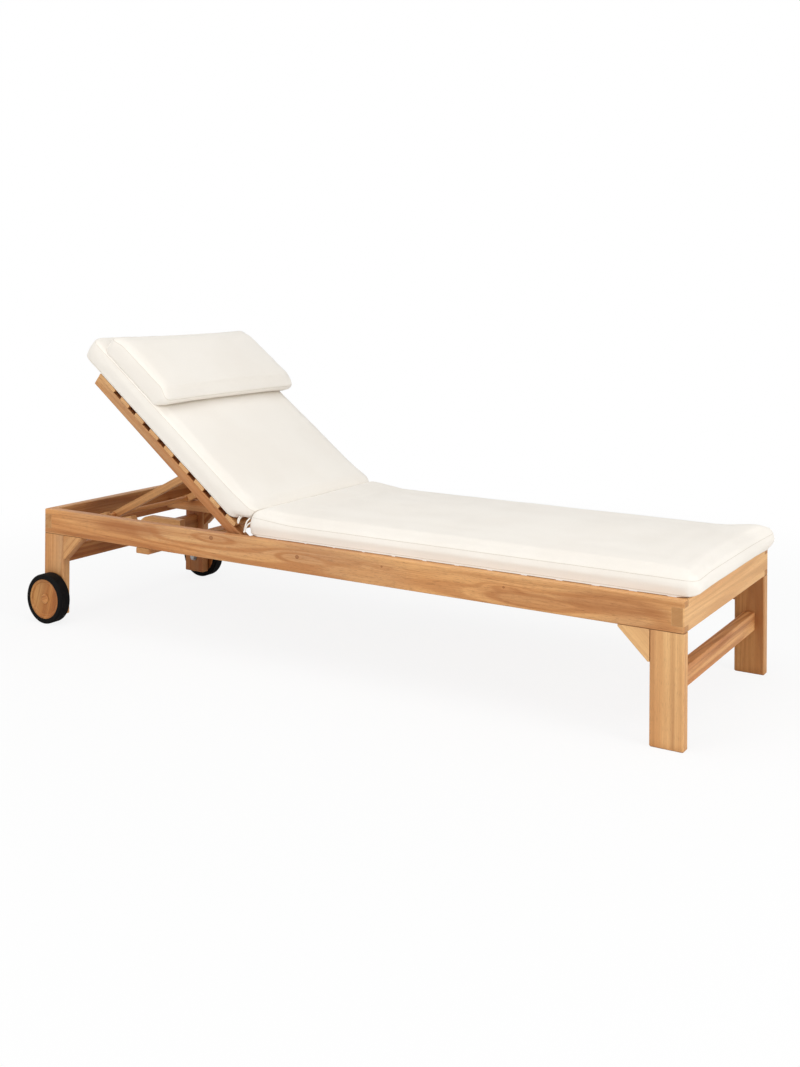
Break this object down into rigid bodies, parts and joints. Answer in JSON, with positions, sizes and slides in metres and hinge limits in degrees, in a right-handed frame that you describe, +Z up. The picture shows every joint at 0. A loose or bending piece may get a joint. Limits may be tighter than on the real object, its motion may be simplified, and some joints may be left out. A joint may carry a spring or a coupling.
{
  "type": "sun lounger",
  "caption": "Wooden sun lounger with a slatted deck, a reclining back held by a prop in notched racks, two wheels, and a loose seat cushion, back cushion and head pillow.",
  "frame": {"origin": "on the floor, under the middle of the overall length and width", "axes": "+X from the head end with the wheels to the foot end, +Y to the left of a person lying on it, +Z up"},
  "size_m": [2.0476, 0.7476, 0.8579],
  "materials": {
    "teak": "satin",
    "canvas": "matte",
    "tyre": "matte",
    "steel": "satin"
  },
  "bodies": {
    "frame": {"axle_bolts": "steel", "foot_rail": "teak", "foot_stretcher": "teak", "head_rail": "teak", "head_stretcher": "teak", "hinge_bolts": "steel", "left_foot_gusset": "teak", "left_foot_leg": "teak", "left_head_gusset": "teak", "left_head_leg": "teak", "left_rack": "teak", "left_side_rail": "teak", "left_slat_bearer": "teak", "rack_cross_bar": "teak", "right_foot_gusset": "teak", "right_foot_leg": "teak", "right_head_gusset": "teak", "right_head_leg": "teak", "right_rack": "teak", "right_side_rail": "teak", "right_slat_bearer": "teak", "seat_cushion": "canvas", "seat_slat_1": "teak", "seat_slat_10": "teak", "seat_slat_11": "teak", "seat_slat_12": "teak", "seat_slat_13": "teak", "seat_slat_2": "teak", "seat_slat_3": "teak", "seat_slat_4": "teak", "seat_slat_5": "teak", "seat_slat_6": "teak", "seat_slat_7": "teak", "seat_slat_8": "teak", "seat_slat_9": "teak"},
    "backrest": {"back_cushion": "canvas", "back_slat_1": "teak", "back_slat_2": "teak", "back_slat_3": "teak", "back_slat_4": "teak", "back_slat_5": "teak", "back_slat_6": "teak", "back_slat_7": "teak", "back_slat_8": "teak", "back_slat_9": "teak", "head_pillow": "canvas", "left_back_rib": "teak", "left_back_stile": "teak", "prop_bolts": "steel", "right_back_rib": "teak", "right_back_stile": "teak"},
    "prop": {"left_prop_arm": "teak", "prop_bar": "teak", "right_prop_arm": "teak"},
    "right_wheel": {"right_wheel_cap": "teak", "right_wheel_disc": "teak", "right_wheel_tyre": "tyre"},
    "left_wheel": {"left_wheel_cap": "teak", "left_wheel_disc": "teak", "left_wheel_tyre": "tyre"}
  },
  "joints": [
    {"name": "backrest_recline", "type": "hinge", "parent": "frame", "child": "backrest", "pos_m": [-0.2522, 0, 0.309], "axis": [0, 1, 0], "range_deg": [0, 20]},
    {"name": "prop_swing", "type": "hinge", "parent": "backrest", "child": "prop", "pos_m": [-0.48988, 0, 0.48876], "axis": [0, 1, 0], "range_deg": [0, 63]},
    {"name": "right_wheel_spin", "type": "hinge", "parent": "frame", "child": "right_wheel", "pos_m": [-0.9502, -0.355, 0.0736], "axis": [0, 1, 0], "continuous": true},
    {"name": "left_wheel_spin", "type": "hinge", "parent": "frame", "child": "left_wheel", "pos_m": [-0.9502, 0.355, 0.0736], "axis": [0, 1, 0], "continuous": true}
  ]
}
